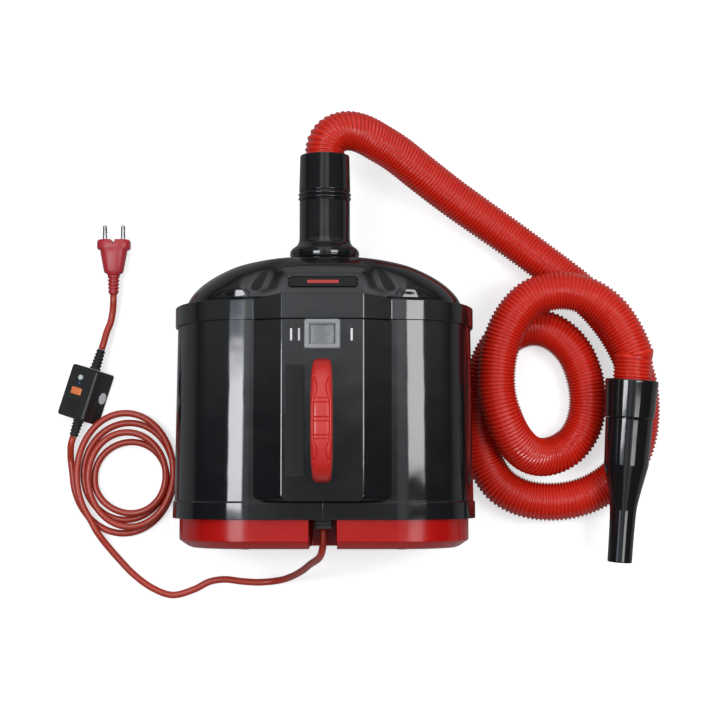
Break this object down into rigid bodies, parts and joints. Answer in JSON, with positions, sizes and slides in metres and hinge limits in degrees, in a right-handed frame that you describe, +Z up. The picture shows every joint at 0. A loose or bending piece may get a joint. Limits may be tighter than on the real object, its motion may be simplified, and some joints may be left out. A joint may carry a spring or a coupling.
{
  "type": "pet dryer",
  "caption": "Portable twin-turbine pet dryer lying on its feet, with a carrying handle, a ribbed hose and tapered nozzle, and a coiled mains lead with a fault-current box and plug.",
  "frame": {"origin": "bottom centre of the dryer's own box, on the plane under its four belly feet", "axes": "+Z up through the carrying handle, +Y along the body towards the hose outlet, +X to the dryer's right side where the hose lies"},
  "size_m": [0.6281, 0.4926, 0.2483],
  "materials": {
    "gloss_black": "polished moulded plastic",
    "satin_black": "satin",
    "cap_red": "polished moulded plastic",
    "handle_red": "satin moulded plastic",
    "hose_red": "glossy flexible vinyl",
    "cord_red": "satin sheath",
    "plug_red": "satin moulding",
    "black_rubber": "matt",
    "clear_boot": "clear soft moulding",
    "switch_grey": "satin",
    "steel": "turned",
    "aluminium": "pressed",
    "fan_white": "moulded",
    "filter_foam": "open foam",
    "button_orange": "moulded",
    "button_pale_green": "moulded"
  },
  "bodies": {
    "housing": {"body_shell_left": "gloss_black", "body_shell_right": "gloss_black", "dome_cap": "gloss_black", "panel_cover": "gloss_black", "handle": "handle_red", "handle_screw_front": "steel", "handle_screw_back": "steel", "badge_plate": "cap_red", "label_plate": "satin_black", "switch_housing": "satin_black", "switch_boot": "clear_boot", "outlet_collar": "gloss_black", "hose_ring": "gloss_black", "hose_cuff": "gloss_black", "hose": "hose_red", "nozzle_cuff": "gloss_black", "belly_foot_1": "black_rubber", "belly_foot_2": "black_rubber", "belly_foot_3": "black_rubber", "belly_foot_4": "black_rubber", "intake_plate": "satin_black", "motor_bridge": "satin_black", "motor_housing_left": "aluminium", "motor_housing_right": "aluminium", "motor_gasket_left": "black_rubber", "motor_gasket_right": "black_rubber", "cord_gland": "satin_black", "gland_bracket": "satin_black", "terminal_block": "fan_white", "inner_lead": "cord_red", "switch_lead": "satin_black", "cord_lead": "cord_red", "cord_coil": "cord_red", "cord_tail": "cord_red", "cord_upper": "cord_red", "rcd_case_front": "satin_black", "rcd_case_back": "satin_black", "rcd_relief_upper": "satin_black", "rcd_relief_lower": "satin_black", "plug_body": "plug_red", "plug_relief": "plug_red", "plug_pin_left": "steel", "plug_pin_right": "steel"},
    "intake_cap": {"end_cap": "cap_red", "foam_filter": "filter_foam", "end_foot_1": "black_rubber", "end_foot_2": "black_rubber", "end_foot_3": "black_rubber", "end_foot_4": "black_rubber"},
    "rocker": {"switch_rocker": "switch_grey"},
    "turbine_left": {"rotor_left": "steel", "fan_left": "fan_white"},
    "turbine_right": {"rotor_right": "steel", "fan_right": "fan_white"},
    "test_button": {"rcd_test_button": "button_pale_green"},
    "reset_button": {"rcd_reset_button": "button_orange"},
    "air_nozzle": {"nozzle": "gloss_black"}
  },
  "joints": [
    {"name": "rocker_tilt", "type": "hinge", "parent": "housing", "child": "rocker", "pos_m": [0, 0.03155, 0.2085], "axis": [0, 1, 0], "range_deg": [-10, 10]},
    {"name": "turbine_left_spin", "type": "hinge", "parent": "housing", "child": "turbine_left", "pos_m": [-0.068, 0, 0.102], "axis": [0, 1, 0], "continuous": true},
    {"name": "turbine_right_spin", "type": "hinge", "parent": "housing", "child": "turbine_right", "pos_m": [0.068, 0, 0.102], "axis": [0, 1, 0], "continuous": true},
    {"name": "test_press", "type": "slide", "parent": "housing", "child": "test_button", "axis": [0.487, -0.1526, -0.86], "range_m": [0, 0.0012], "stiffness_N_per_m": 250, "springref_m": -0.0006},
    {"name": "reset_press", "type": "slide", "parent": "housing", "child": "reset_button", "axis": [0.487, -0.1526, -0.86], "range_m": [0, 0.0012], "stiffness_N_per_m": 250, "springref_m": -0.0006},
    {"name": "intake_cap_pull", "type": "slide", "parent": "housing", "child": "intake_cap", "axis": [0, -1, 0], "range_m": [0, 0.008]},
    {"name": "nozzle_pull", "type": "slide", "parent": "housing", "child": "air_nozzle", "axis": [-0.0732, -0.9968, -0.0325], "range_m": [0, 0.014]}
  ]
}
